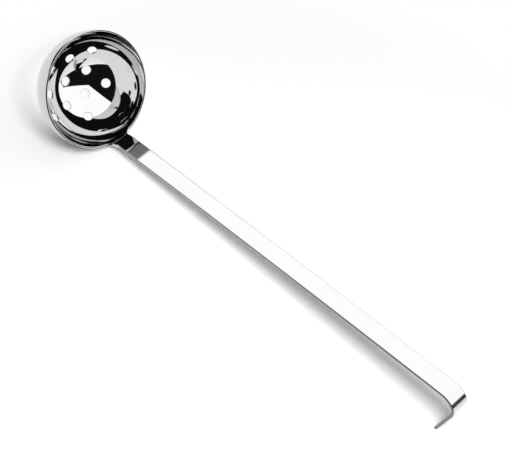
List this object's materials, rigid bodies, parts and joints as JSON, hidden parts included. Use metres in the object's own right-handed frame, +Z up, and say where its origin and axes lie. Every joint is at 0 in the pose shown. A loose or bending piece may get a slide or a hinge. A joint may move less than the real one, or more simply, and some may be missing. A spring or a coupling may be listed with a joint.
{
  "type": "perforated ladle",
  "caption": "Stainless steel ladle with a deep round perforated bowl and a long flat strap handle whose end is bent into a hanging hook, for lifting and draining food.",
  "frame": {"origin": "on the surface that the ladle lies on, under the middle of its bounding box", "axes": "+X along the handle from the bowl to the hook, +Y across the handle, +Z up from the surface that it lies on"},
  "size_m": [0.4526, 0.0998, 0.093],
  "materials": {
    "mirror_steel": "mirror-polished stainless steel",
    "strap_steel": "mirror-polished stainless steel strip",
    "weld_steel": "ground and polished weld"
  },
  "bodies": {
    "root": {"perforated_bowl": "mirror_steel", "handle": "strap_steel", "neck_weld": "weld_steel"}
  },
  "joints": []
}
